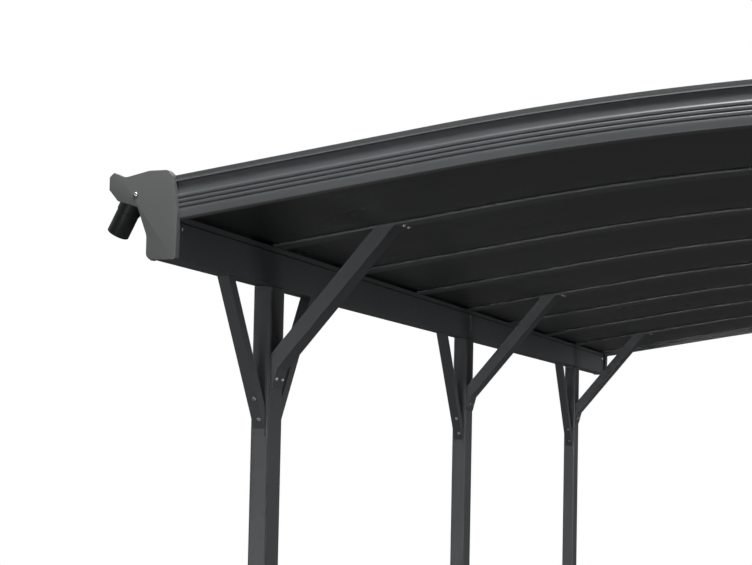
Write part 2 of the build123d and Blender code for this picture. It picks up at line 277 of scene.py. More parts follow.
def roof_arc(sizes):
    """Radius and centre height of the roof's arc: it leaves the straight slopes smoothly."""
    spring = sizes.eaves + (sizes.inner_face - sizes.arc_half) * tan(sizes.slope)
    radius = sizes.arc_half / sin(sizes.slope)
    return radius, spring - radius * cos(sizes.slope)


def roof_points(sizes, heights, reach):
    """Points at these heights over the roof line, from one end of it to the other.

    On the arc a point is (r + h) (sin t, cos t) from the centre, with t from -slope to
    slope. The first and last station lie on the straight slopes, cut upright at the reach:
    z falls by tan(slope) for each metre beyond the arc.
    """
    radius, centre = roof_arc(sizes)
    turn = np.linspace(-sizes.slope, sizes.slope, ROOF_STEPS + 1)[:, None]
    spread = radius + np.asarray(heights, dtype=float)[None, :]
    x = spread * np.sin(turn)
    z = centre + spread * np.cos(turn)
    drop = (reach - x[-1]) * tan(sizes.slope)
    edge_x = np.full((1, x.shape[1]), reach)
    edge_z = (z[-1] - drop)[None, :]
    x = np.concatenate([-edge_x, x, edge_x])
    z = np.concatenate([edge_z, z, edge_z])
    return x, z


def roof_sweep(sizes, section, reach, line=0.0):
    """Carries a closed section of (y, height) points along the roof line at y = line."""
    section = np.asarray(section, dtype=float)
    x, z = roof_points(sizes, section[:, 1], reach)
    return tube_on(x, section[:, 0] + line, z)


def box_section(low_y, high_y, low, high):
    """A rectangle of (y, height) points."""
    return [(low_y, low), (high_y, low), (high_y, high), (low_y, high)]


def arc_points(centre, radius, start, stop, count):
    """Points on an arc: centre + radius (cos a, sin a), with a from start to stop."""
    turn = np.linspace(start, stop, count)
    return np.stack([centre[0] + radius * np.cos(turn), centre[1] + radius * np.sin(turn)], axis=-1)


def sagitta_arc(low, high, depth_low, depth_mid, count):
    """Points (depth, height) on the arc through (depth_low, low), the middle and the top.

    With half chord c and rise s the radius is (c c + s s) / 2 s, and the depth at height h
    is the apex depth less or plus r - sqrt(r r - h h).
    """
    half, rise = (high - low) / 2, depth_low - depth_mid
    radius = (half * half + rise * rise) / (2 * abs(rise))
    height = np.linspace(-half, half, count)
    sag = radius - np.sqrt(np.maximum(radius * radius - height * height, 0.0))
    depth = depth_mid + np.sign(rise) * sag
    return np.stack([depth, height + (low + high) / 2], axis=-1)


def moulding_section(sizes):
    """The moulding's outline as (depth behind its face, height over the roof line).

    The band leans back with the fifth power of its height, down into the first valley. The
    ridges are arcs from valley to valley. Over them the cove goes back by 1 - (1 - s) to the
    power 1.6, with s from 0 at the ridges to 1 under the rim, whose face is a hollow arc.
    """
    crest, wall, edge = 0.0008, 0.003, 0.0012
    band_top = sizes.band - sizes.drop
    cove_low = band_top + sizes.ridges * sizes.ridge_pitch
    cove_high = cove_low + sizes.cove
    top = cove_high + sizes.rim
    share = np.linspace(0, 1, 13)
    corner = arc_points(
        (crest + sizes.band_corner, -sizes.drop + sizes.band_corner), sizes.band_corner, -pi / 2, -pi, 9
    )
    band = np.stack(
        [
            crest + (sizes.valley - crest) * share**5,
            -sizes.drop + sizes.band_corner + share * (sizes.band - sizes.band_corner),
        ],
        axis=-1,
    )
    ridges = [
        sagitta_arc(low, low + sizes.ridge_pitch, sizes.valley, crest, 9)[1:]
        for low in band_top + sizes.ridge_pitch * np.arange(sizes.ridges)
    ]
    cove_back = sizes.valley + (sizes.cove_depth - sizes.valley) * (1 - (1 - share) ** 1.6)
    cove = np.stack([cove_back, cove_low + share * sizes.cove], axis=-1)
    rim = np.concatenate(
        [
            arc_points((edge, cove_high + edge), edge, -pi / 2, -pi, 4),
            sagitta_arc(cove_high + edge, top - 2 * edge, 0.0, sizes.rim_hollow, 9)[1:-1],
            arc_points((edge, top - edge), edge, pi, pi / 2, 5),
        ]
    )
    back = [
        (sizes.rim_return, top),
        (sizes.rim_return, top - wall),
        (sizes.thickness, top - wall),
        (sizes.thickness, -sizes.drop),
    ]
    foot = [(sizes.thickness - 0.001, -sizes.drop)]
    return np.concatenate([foot, corner, band[1:], *ridges, cove[1:], rim, back])


def round_outline(corners, steps=CORNER_STEPS):
    """A closed outline with rounded corners, from (x, y, radius) rows.

    Each corner's arc touches both sides radius / tan(half angle) from the corner. Its centre
    lies on the bisector, radius / sin(half angle) away.
    """
    corners = np.asarray(corners, dtype=float)
    place, radius = corners[:, :2], corners[:, 2:]
    back = np.roll(place, 1, axis=0) - place
    ahead = np.roll(place, -1, axis=0) - place
    back /= np.linalg.norm(back, axis=1, keepdims=True)
    ahead /= np.linalg.norm(ahead, axis=1, keepdims=True)
    half = np.arccos(np.clip(np.sum(back * ahead, axis=1), -1, 1))[:, None] / 2
    middle = back + ahead
    middle /= np.linalg.norm(middle, axis=1, keepdims=True)
    centre = place + middle * radius / np.sin(half)
    start = place + back * radius / np.tan(half) - centre
    stop = place + ahead * radius / np.tan(half) - centre
    share = np.linspace(0, 1, steps)[None, :, None]
    sweep = (pi - 2 * half)[:, None, :]
    rows = (
        start[:, None, :] * np.sin((1 - share) * sweep) + stop[:, None, :] * np.sin(share * sweep)
    ) / np.sin(sweep)
    return (centre[:, None, :] + rows).reshape(-1, 2)


def outline_normals(outline):
    """Unit normals that point out of a closed outline, from the chord of each point's neighbours."""
    chord = np.roll(outline, -1, axis=0) - np.roll(outline, 1, axis=0)
    chord /= np.linalg.norm(chord, axis=1, keepdims=True)
    normal = np.stack([chord[:, 1], -chord[:, 0]], axis=-1)
    x, y = outline[:, 0], outline[:, 1]
    area = np.sum(x * np.roll(y, -1) - np.roll(x, -1) * y)
    return normal if area > 0 else -normal


def head_corners(sizes):
    """The gutter head's corners from its end, as (out from the beam, up from its top, radius) rows."""
    reach, high, flare, ear = sizes.nose_reach, sizes.nose_height, sizes.flare, sizes.ear
    return [
        (-0.058, -0.087, 0.006),
        (flare, -0.087, 0.015),
        (flare, -0.035, 0.030),
        (flare + 0.022, 0.025, 0.005),
        (reach - 0.020, high - 0.060, 0.005),
        (reach, high - 0.036, 0.004),
        (reach, high - 0.009, 0.005),
        (reach - 0.010, high + 0.001, 0.004),
        (reach - 0.036, high - 0.010, 0.025),
        (0.005, ear - 0.001, 0.040),
        (-0.037, ear, 0.012),
        (-0.050, ear - 0.013, 0.008),
        (-0.0605, 0.014, 0.060),
    ]


def rafter_section(roof):
    """A rafter's outline as (y, height) points: flange, web, clamping bar and grooved crest.

    Half of it is listed from the flange's underside up to the crest, with quarter arcs at
    its edges, and the other half is its mirror image in reverse order.
    """
    flange, clamp, crest = roof.flange_width / 2, roof.clamp_width / 2, roof.crest_width / 2
    edge, corner, groove = 0.0012, 0.003, 0.0035
    low, top = roof.clamp_top - 0.003, roof.clamp_top + roof.crest_height
    half = np.concatenate(
        [
            [(0.004, 0.0)],
            arc_points((flange - edge, edge), edge, -pi / 2, 0, 4),
            arc_points((flange - edge, roof.flange_height - edge), edge, 0, pi / 2, 4),
            [(roof.web / 2, roof.flange_height), (roof.web / 2, low), (clamp - edge / 2, low)],
            arc_points((clamp - edge, roof.clamp_top - edge), edge, 0, pi / 2, 4),
            [(crest, roof.clamp_top)],
            arc_points((crest - corner, top - corner), corner, 0, pi / 2, 6),
            [(groove, top), (groove - 0.001, top - edge)],
        ]
    )
    return np.concatenate([half, half[::-1] * (-1, 1)])


def roof_height(roof, x, height):
    """How high a point of this height over the roof line stands, beside the arc, at x."""
    return roof.eaves + (roof.inner_face - x) * tan(roof.slope) + height / cos(roof.slope)


def outlet_axes(sizes, side):
    """Where an outlet's axis starts, and its axes: down along it and two across it."""
    lean, tilt = sizes.outlet_lean, sizes.outlet_tilt
    down = np.array([side * sin(lean) * cos(tilt), sin(tilt), -cos(lean) * cos(tilt)])
    across = np.cross(down, (1.0, 0.0, 0.0))
    across /= np.linalg.norm(across)
    return down, across, np.cross(down, across)


def outlet_surface(sizes, beam_face, side):
    """A rain outlet: a tube with a rounded lip and a collar, saddled to the gutter's floor.

    Round the axis a point is start + r (cos a u + sin a v) + t down. The profile gives r and
    t, and its first and last ring take the t at which they meet the nearer of the two flat
    stretches under the nose: t = (inset - n . p) / (n . down), with n down out of the floor.
    """
    down, first, second = outlet_axes(sizes, side)
    start = np.array(
        [
            side * (beam_face + sizes.outlet_out),
            sizes.outlet_setback - sizes.roof_half,
            sizes.beam_top + sizes.outlet_up,
        ]
    )
    outer, half_wall = sizes.outlet_radius, sizes.outlet_wall / 2
    inner = outer - sizes.outlet_wall
    bead, collar_end, plain_start = 0.0015, 0.0045, 0.012
    lip = arc_points((outer - half_wall, sizes.outlet_length - half_wall), half_wall, 0, pi, 9)
    collar = arc_points((outer, collar_end), bead, 0, pi / 2, 5)
    foot = [(outer + bead, 0.0), (outer + bead, collar_end - 0.001)]
    profile = np.concatenate([foot, collar, [(outer, plain_start)], lip, [(inner, 0.0)]])
    turn = np.arange(64) * 2 * pi / 64
    ring = np.cos(turn)[:, None] * first + np.sin(turn)[:, None] * second
    base = start + profile[:, :1, None] * ring[None]
    # The gutter's underside lies 2.3 mm inside the head's outline, and the outlet starts in it.
    inset = 0.0021
    knees = np.array(head_corners(sizes))[3:6, :2]
    place = np.stack([side * base[..., 0] - beam_face, base[..., 2] - sizes.beam_top], axis=-1)
    fall = np.array([side * down[0], down[2]])
    meets = []
    for low, far in zip(knees[:-1], knees[1:]):
        along = (far - low) / np.linalg.norm(far - low)
        out = np.array([along[1], -along[0]])
        meets.append((-inset - (place - low) @ out) / (fall @ out))
    saddle = np.minimum(*meets)
    depth = np.broadcast_to(profile[:, 1:], saddle.shape).copy()
    depth[[0, -1]] = saddle[[0, -1]]
    depth[1:3] = np.maximum(depth[1:3], saddle[1:3] + 0.002)
    return tube(base + depth[..., None] * down, closed_along=True)


def lathe(profile, around):
    """Turns (radius, height) points round the Z axis: (r cos a, r sin a, h), closed at both ends."""
    profile = np.asarray(profile, dtype=float)
    turn = np.arange(around) * 2 * pi / around
    return tube_on(profile[:, :1] * np.cos(turn), profile[:, :1] * np.sin(turn), profile[:, 1:])


def screw_head(sizes):
    """A pan head on Z with a six-lobed recess: the recess radius is r (1 + 0.16 cos 6a)."""
    radius, height = sizes.head_radius, sizes.head_height
    bowl = [(1.0, -0.1), (1.0, 0.25), (0.94, 0.62), (0.78, 0.9), (0.52, 1.0)]
    recess = [(0.42, 1.0), (0.38, 0.35), (0.08, 0.3)]
    profile = np.array(bowl + recess)
    turn = np.arange(24) * 2 * pi / 24
    lobes = np.ones((len(profile), 24))
    lobes[5:7] += 0.16 * np.cos(6 * turn)
    r = profile[:, :1] * radius * lobes
    return tube_on(r * np.cos(turn), r * np.sin(turn), profile[:, 1:] * height)


def placed(part, spots):
    """Copies of a part that stands on Z, one for each (place, direction) of the spots."""
    points, faces = part
    copies = []
    for place, direction in spots:
        turn = Vector(direction).to_track_quat("Z", "Y").to_matrix()
        copies.append((points @ np.array(turn).T + np.array(place), faces))
    return copies


def add_node(tree, kind, inputs=None, **settings):
    """Adds a node, sets it up, and sets or links its inputs."""
    made = tree.nodes.new(kind)
    for name, value in settings.items():
        setattr(made, name, value)
    for name, value in (inputs or {}).items():
        if isinstance(value, bpy.types.NodeSocket):
            tree.links.new(value, made.inputs[name])
        else:
            made.inputs[name].default_value = value
    return made


def new_material(name):
    """An empty node material, its tree and its Object coordinates."""
    material = bpy.data.materials.get(name) or bpy.data.materials.new(name)
    material.use_nodes = True
    tree = material.node_tree
    tree.nodes.clear()
    place = add_node(tree, "ShaderNodeTexCoord").outputs["Object"]
    return material, tree, place


def with_alpha(rgb, factor=1.0):
    """A colour for a socket, made lighter or darker by the factor."""
    return (*(min(1.0, channel * factor) for channel in rgb), 1.0)


def grained_finish(name, tones, gloss, grain, cloud=None, tone_from=(0.0, 1.0), bump=None, **surface):
    """A finish whose tone follows a broad noise, and whose gloss and skin follow a fine one.

    tones holds one colour, or the two that the cloud mixes as its value runs over tone_from.
    gloss holds one roughness, or the two that the grain runs between. grain and cloud are the
    inputs of their noises, and bump is the strength and the depth in metres of the skin.
    """
    material, tree, place = new_material(name)
    fine = add_node(tree, "ShaderNodeTexNoise", {"Vector": place, **grain}).outputs["Fac"]
    broad = fine
    if cloud:
        broad = add_node(tree, "ShaderNodeTexNoise", {"Vector": place, **cloud}).outputs["Fac"]
    surface.update({"Base Color": tones[0], "Roughness": gloss[0]})
    if len(tones) == 2:
        low, high = tone_from
        span = {"Value": broad, "From Min": low, "From Max": high, "To Min": 0.0, "To Max": 1.0}
        share = add_node(tree, "ShaderNodeMapRange", span).outputs["Result"]
        mix = {"Factor": share, "A": tones[0], "B": tones[1]}
        surface["Base Color"] = add_node(tree, "ShaderNodeMix", mix, data_type="RGBA").outputs["Result"]
    if len(gloss) == 2:
        span = {"Value": fine, "From Min": 0.3, "From Max": 0.7, "To Min": gloss[0], "To Max": gloss[1]}
        surface["Roughness"] = add_node(tree, "ShaderNodeMapRange", span).outputs["Result"]
    if bump:
        skin = {"Strength": bump[0], "Distance": bump[1], "Height": fine}
        surface["Normal"] = add_node(tree, "ShaderNodeBump", skin).outputs["Normal"]
    shader = add_node(tree, "ShaderNodeBsdfPrincipled", surface)
    add_node(tree, "ShaderNodeOutputMaterial", {"Surface": shader.outputs["BSDF"]})
    return material


def powder_coat(name, base, worn, roughness=0.46):
    """Powder coat on aluminium: sprayed and baked, so slightly pebbled, matt and faintly mottled.

    Patches about 0.35 m across differ in tone as dust and chalking do, and the pebbled skin is
    3 to 4 mm across, coarser than the real one so that it shows.
    """
    patch, pebble = 0.35, 0.0035
    return grained_finish(
        name,
        (with_alpha(base), with_alpha(worn)),
        (roughness - 0.05, roughness + 0.07),
        {"Scale": 1 / pebble, "Detail": 2.0, "Roughness": 0.5},
        cloud={"Scale": 1 / patch, "Detail": 3.0, "Roughness": 0.55},
        tone_from=(0.35, 0.7),
        bump=(0.12, 0.0004),
        IOR=1.5,
    )


def twin_wall_sheet(finish):
    """Smoked twin-wall polycarbonate: extruded, with glossy skins over ribs 10.5 mm apart.

    The ribs run from gutter to gutter, so they are bands along Y. They show through the
    smoked skin as slightly lighter lines, and the skin dips a little between them.
    """
    material, tree, place = new_material("smoked_twin_wall_polycarbonate")
    rib_pitch = 0.0105
    ribs = add_node(
        tree,
        "ShaderNodeTexWave",
        {"Vector": place, "Scale": 2 * pi / (20 * rib_pitch), "Distortion": 0.0},
        wave_type="BANDS",
        bands_direction="Y",
        wave_profile="SIN",
    )
    rib_line = add_node(
        tree,
        "ShaderNodeMapRange",
        {"Value": ribs.outputs["Fac"], "From Min": 0.8, "From Max": 1.0, "To Min": 0.0, "To Max": 1.0},
    )
    cloud = add_node(tree, "ShaderNodeTexNoise", {"Vector": place, "Scale": 2.2, "Detail": 4.0})
    tint = add_node(
        tree,
        "ShaderNodeMix",
        {
            "Factor": rib_line.outputs["Result"],
            "A": with_alpha(finish.sheet),
            "B": with_alpha(finish.sheet, 1.9),
        },
        data_type="RGBA",
    )
    haze = add_node(
        tree,
        "ShaderNodeMapRange",
        {"Value": cloud.outputs["Fac"], "From Min": 0.3, "From Max": 0.7, "To Min": 0.27, "To Max": 0.35},
    )
    dip = add_node(
        tree, "ShaderNodeBump", {"Strength": 0.12, "Distance": 0.0004, "Height": ribs.outputs["Fac"]}
    )
    shader = add_node(
        tree,
        "ShaderNodeBsdfPrincipled",
        {
            "Base Color": tint.outputs["Result"],
            "Roughness": haze.outputs["Result"],
            "Normal": dip.outputs["Normal"],
            "IOR": 1.58,
        },
    )
    add_node(tree, "ShaderNodeOutputMaterial", {"Surface": shader.outputs["BSDF"]})
    return material


def moulded_plastic(name, base, roughness=0.5):
    """Injection-moulded plastic: an even tone with the fine eroded grain of its mould, 1.6 mm wide."""
    grain = 0.0016
    return grained_finish(
        name,
        (with_alpha(base, 0.93), with_alpha(base, 1.07)),
        (roughness - 0.06, roughness + 0.06),
        {"Scale": 1 / grain, "Detail": 2.0, "Roughness": 0.6},
        cloud={"Scale": 14.0, "Detail": 2.0},
        bump=(0.2, 0.00012),
        IOR=1.5,
    )


def stainless_steel(finish):
    """Stainless steel screws: cold formed and tumbled, bright with a slightly uneven polish."""
    grain = {"Scale": 1 / 0.0015, "Detail": 2.0}
    return grained_finish(
        "tumbled_stainless_steel", (with_alpha(finish.screw),), (0.22, 0.4), grain, Metallic=1.0
    )


def zinc_plated_steel(finish):
    """Zinc plated steel anchors: electroplated, pale grey and satin with cloudy patches."""
    tones = (with_alpha(finish.zinc, 0.8), with_alpha(finish.zinc))
    grain = {"Scale": 220.0, "Detail": 3.0}
    return grained_finish("electroplated_zinc_on_steel", tones, (0.3, 0.5), grain, Metallic=1.0)


def sealing_tape(finish):
    """Aluminium tape over the open ends of the sheets: rolled foil, dull and a little crinkled."""
    return grained_finish(
        "rolled_aluminium_tape",
        (with_alpha(finish.tape),),
        (0.38, 0.55),
        {"Scale": 90.0, "Detail": 3.0},
        bump=(0.3, 0.0006),
        Metallic=1.0,
    )


def seal_rubber(finish):
    """EPDM rubber seals: extruded, dull black with a faint bloom."""
    tones = (with_alpha(finish.gasket), with_alpha(finish.gasket, 1.6))
    grain = {"Scale": 40.0, "Detail": 3.0}
    return grained_finish("extruded_epdm_rubber", tones, (0.7,), grain, IOR=1.52)


def dress(names, material):
    """Gives CAD nodes this material."""
    for name in names:
        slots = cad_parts[name].data.materials
        slots.clear()
        slots.append(material)


def nodes_named(*starts):
    """CAD nodes whose names start with one of these words."""
    return sorted(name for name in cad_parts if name.startswith(starts))


class CARPORT_OT_coated_frame(bpy.types.Operator):
    """Coats the posts, beams, braces, gutters and base plates"""

    bl_idname = "carport.coated_frame"
    bl_label = "Coated frame"

    def execute(self, context):
        finish = context.scene.carport_finish
        dress(
            nodes_named("post_", "beam_left", "beam_right"),
            powder_coat("matt_powder_coat_frame", finish.coat, finish.coat_light),
        )
        dress(
            nodes_named("cross_brace", "beam_braces"),
            powder_coat("matt_powder_coat_braces", finish.coat, finish.coat_light, roughness=0.5),
        )
        dress(
            ("gutter_left", "gutter_right"),
            powder_coat("matt_powder_coat_gutters", finish.gutter_coat, finish.coat_light, roughness=0.5),
        )
        dress(
            nodes_named("feet_"),
            powder_coat("powder_coat_on_galvanised_steel", finish.plate, finish.coat_light, roughness=0.55),
        )
        return {"FINISHED"}


class CARPORT_OT_rafters(bpy.types.Operator):
    """Builds the rafters, with rounded flanges and grooved crests"""

    bl_idname = "carport.rafters"
    bl_label = "Rafters"

    def execute(self, context):
        scene = context.scene
        roof, finish = scene.carport_roof, scene.carport_finish
        coat = powder_coat("satin_powder_coat_rafters", finish.rafter_coat, finish.coat_light, roughness=0.4)
        section = rafter_section(roof)
        for number in range(1, 8):
            bar = roof_sweep(roof, section, roof.rafter_reach, (number - 4) * roof.bay)
            piece = make_piece(f"rafter_bar_{number}", [bar], coat)
            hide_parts(f"rafter_{number}")
        return {"FINISHED"}


class CARPORT_OT_roof_sheets(bpy.types.Operator):
    """Builds the smoked twin-wall roof sheets and closes their ends with aluminium tape"""

    bl_idname = "carport.roof_sheets"
    bl_label = "Roof sheets"

    def execute(self, context):
        scene = context.scene
        roof = scene.carport_roof
        smoked = twin_wall_sheet(scene.carport_finish)
        foil = sealing_tape(scene.carport_finish)
        edge = roof.web / 2 + roof.sheet_gap
        low, high = roof.sheet_low, roof.sheet_low + roof.sheet_thickness
        skin, lap, room = 0.0005, 0.022, roof.flange_width / 2 + 0.002
        outside = [(lap, high + skin), (-skin, high + skin), (-skin, low - skin), (lap, low - skin)]
        inside = [(lap, low), (0.0, low), (0.0, high), (lap, high)]
        tape_line = np.array(outside + inside)
        tape_x = roof.sheet_reach - tape_line[:, 0]
        tape_z = roof_height(roof, tape_x, tape_line[:, 1])
        tapes = []
        for number in range(8):
            line = (number - 4) * roof.bay
            section = box_section(edge, roof.bay - edge, low, high)
            sheet = roof_sweep(roof, section, roof.sheet_reach, line)
            piece = make_piece(f"smoked_sheet_{number + 1}", [sheet], smoked)
            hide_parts(f"roof_sheet_{number + 1}")
            tape_ends = np.array([[line + room], [line + roof.bay - room]])
            tapes += [tube_on(side * tape_x, tape_ends, tape_z) for side in SIDES.values()]
        make_piece("sheet_end_tapes", tapes, foil)
        return {"FINISHED"}


class CARPORT_OT_arch_mouldings(bpy.types.Operator):
    """Builds the moulded arches at the front and the rear"""

    bl_idname = "carport.arch_mouldings"
    bl_label = "Arch mouldings"

    def execute(self, context):
        scene = context.scene
        roof, sizes, gutter = scene.carport_roof, scene.carport_moulding, scene.carport_gutter
        finish = scene.carport_finish
        coat = powder_coat(
            "satin_powder_coat_mouldings", finish.arch_coat, finish.coat_light, roughness=0.36
        )
        profile = moulding_section(sizes)
        line = 4 * roof.bay
        # The moulding ends along the inner edge of a gutter cap, which leans above its knee.
        cap_edge, knee, lean = 0.0585, 0.014, 0.137
        rise = roof_height(roof, roof.inner_face, profile[:, 1]) - gutter.beam_top
        reach = roof.span_half - cap_edge + np.maximum(rise - knee, 0.0) * lean
        back = -sizes.face + sizes.thickness
        flange, clamp, clamp_low = roof.flange_width / 2, roof.clamp_width / 2, roof.clamp_top - 0.003
        tongue = np.array(
            [
                (back, 0.0),
                (flange, 0.0),
                (flange, roof.flange_height),
                (back + roof.web, roof.flange_height),
                (back + roof.web, clamp_low),
                (clamp, clamp_low),
                (clamp, roof.clamp_top),
                (back, roof.clamp_top),
            ]
        )
        for end_name, end in ENDS.items():
            face = np.stack([end * (line + sizes.face - profile[:, 0]), profile[:, 1]], axis=-1)
            slot = np.stack([end * (line - tongue[:, 0]), tongue[:, 1]], axis=-1)
            parts = [roof_sweep(roof, face, reach), roof_sweep(roof, slot, roof.rafter_reach)]
            piece = make_piece(f"arch_moulding_{end_name}", parts, coat)
            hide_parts(f"{end_name}_arch")
        return {"FINISHED"}


class CARPORT_OT_gutter_caps(bpy.types.Operator):
    """Builds the moulded end caps of the gutters"""

    bl_idname = "carport.gutter_caps"
    bl_label = "Gutter end caps"

    def execute(self, context):
        scene = context.scene
        sizes, roof = scene.carport_gutter, scene.carport_roof
        plastic = moulded_plastic("grained_asa_plastic", scene.carport_finish.cap)
        outline = round_outline(head_corners(sizes))
        normal = outline_normals(outline)
        edge = sizes.cap_edge
        turn = np.linspace(0, pi / 2, 5)
        inset = np.concatenate([edge * (1 - np.sin(turn)), [0.0]])
        depth = np.concatenate([edge * (1 - np.cos(turn)), [sizes.cap_plate]])
        rings = outline[None] - inset[:, None, None] * normal[None]
        # The rim leaves out the stretch under the beam, with a small clearance beside it.
        clearance, low = 0.0003, outline[:, 1].min()
        beam_width = roof.span_half - roof.inner_face
        first, last = (clearance, low), (-beam_width - clearance, low)
        path = np.concatenate([[first], np.roll(outline, -CORNER_STEPS, axis=0), [last]])
        path_normal = np.concatenate([[(0.0, -1.0)], np.roll(normal, -CORNER_STEPS, axis=0), [(0.0, -1.0)]])
        inner = path - sizes.cap_rim * path_normal
        wall = np.stack([path, inner, inner, path], axis=1)
        near, far = sizes.roof_half - sizes.cap_plate, sizes.roof_half - sizes.cap_depth
        wall_y = np.array([near, near, far, far])
        for side_name, side in SIDES.items():
            for end_name, end in ENDS.items():
                plate = tube_on(
                    side * (roof.span_half + rings[..., 0]),
                    end * (sizes.roof_half - depth)[:, None],
                    sizes.beam_top + rings[..., 1],
                )
                rim = tube_on(
                    side * (roof.span_half + wall[..., 0]), end * wall_y, sizes.beam_top + wall[..., 1]
                )
                piece = make_piece(f"end_cap_{side_name}_{end_name}", [plate, rim], plastic)
                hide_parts(f"gutter_cap_{side_name}_{end_name}")
        return {"FINISHED"}


class CARPORT_OT_rain_outlets(bpy.types.Operator):
    """Builds the rain outlets under the gutter noses"""

    bl_idname = "carport.rain_outlets"
    bl_label = "Rain outlets"

    def execute(self, context):
        scene = context.scene
        plastic = moulded_plastic("black_polypropylene", scene.carport_finish.outlet, roughness=0.34)
        for side_name, side in SIDES.items():
            spout = outlet_surface(scene.carport_gutter, scene.carport_roof.span_half, side)
            piece = make_piece(f"rain_outlet_{side_name}", [spout], plastic)
            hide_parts(f"gutter_outlet_{side_name}")
        return {"FINISHED"}


class CARPORT_OT_seals(bpy.types.Operator):
    """Runs rubber seals along the rafters, over the sheets"""

    bl_idname = "carport.seals"
    bl_label = "Rubber seals"

    def execute(self, context):
        scene = context.scene
        roof = scene.carport_roof
        rubber = seal_rubber(scene.carport_finish)
        upper = (roof.clamp_width / 2, roof.sheet_low + roof.sheet_thickness, 0.0026, 12)
        lower = (roof.flange_width / 2, roof.sheet_low, 0.0018, 10)
        reaches = {upper: roof.sheet_reach - 0.002, lower: roof.inner_face - 0.004}
        for number in range(1, 8):
            line = (number - 4) * roof.bay
            parts = []
            for way in (-1, 1):
                for seal, reach in reaches.items():
                    out, height, radius, around = seal
                    last = 2 * pi * (around - 1) / around
                    bead = arc_points((way * out, height), radius, 0.0, last, around)
                    parts.append(roof_sweep(roof, bead, reach, line))
            make_piece(f"rafter_seals_{number}", parts, rubber)
        return {"FINISHED"}


class CARPORT_OT_screws(bpy.types.Operator):
    """Sets the stainless steel screws in caps, braces and beams"""

    bl_idname = "carport.screws"
    bl_label = "Screws"

    def execute(self, context):
        scene = context.scene
        roof, gutter = scene.carport_roof, scene.carport_gutter
        steel = stainless_steel(scene.carport_finish)
        head = screw_head(scene.carport_screw)
        # Where the heads sit: out and up on a cap, on a beam's end, on the tabs of the cross
        # braces, with the foot tab's direction, and up the face tabs of the beam braces.
        cap_x, cap_z = 1.752, 2.197
        beam_y, beam_z = 2.449, 2.1306
        foot_x, foot_z, foot_facing, tab_half = 1.6627, 1.8365, (0.9676, -0.2524), 0.020
        head_x, head_z = 1.349, 2.2063
        brace_x, brace_foot, brace_lean, post_half = 1.689, 1.712, radians(36.2), 0.045
        for side_name, side in SIDES.items():
            caps, beams, cross, braces = [], [], [], []
            for end in ENDS.values():
                caps.append(((side * cap_x, end * gutter.roof_half, cap_z), (0, end, 0)))
                beams.append(((side * roof.inner_face, end * beam_y, beam_z), (-side, 0, 0)))
            for place, line in POST_LINES.items():
                for y in (line - tab_half, line + tab_half):
                    out, up = foot_facing
                    cross.append(((side * foot_x, y, foot_z), (-side * out, 0, up)))
                    cross.append(
                        ((side * head_x, y, head_z), (-side * sin(roof.slope), 0, -cos(roof.slope)))
                    )
                for way in BEAM_BRACE_WAYS[place]:
                    for rise in (0.026, 0.074):
                        y = line + way * (post_half + rise * tan(brace_lean))
                        facing = (0, way * cos(brace_lean), -sin(brace_lean))
                        braces.append(((side * brace_x, y, brace_foot + rise), facing))
            kinds = {"cap": caps, "beam": beams, "cross_brace": cross, "beam_brace": braces}
            for kind, spots in kinds.items():
                make_piece(f"{kind}_screws_{side_name}", placed(head, spots), steel)
        return {"FINISHED"}


class CARPORT_OT_clamp_screws(bpy.types.Operator):
    """Sets the screws that hold the clamping bars down on the sheets"""

    bl_idname = "carport.clamp_screws"
    bl_label = "Clamping screws"

    def execute(self, context):
        scene = context.scene
        roof, screw = scene.carport_roof, scene.carport_screw
        steel = stainless_steel(scene.carport_finish)
        head = screw_head(screw)
        radius, centre = roof_arc(roof)
        turn = np.arange(-4, 5) * screw.clamp_spacing / (radius + roof.clamp_top)
        turn = turn[np.abs(turn) < roof.slope]
        rise = radius + roof.clamp_top
        arc_x, arc_z = rise * np.sin(turn), centre + rise * np.cos(turn)
        beside, slope_places = 0.018, (1.34, 1.66)
        for number in range(9):
            line = (number - 4) * roof.bay
            rows = {0: (beside,), 8: (-beside,)}.get(number, (-beside, beside))
            spots = []
            for along in rows:
                for x, z, lean in zip(arc_x, arc_z, turn):
                    spots.append(((x, line + along, z), (sin(lean), 0, cos(lean))))
                for side in SIDES.values():
                    for x in slope_places:
                        up = (side * sin(roof.slope), 0, cos(roof.slope))
                        spots.append(((side * x, line + along, roof_height(roof, x, roof.clamp_top)), up))
            make_piece(f"clamp_screws_{number}", placed(head, spots), steel)
        return {"FINISHED"}


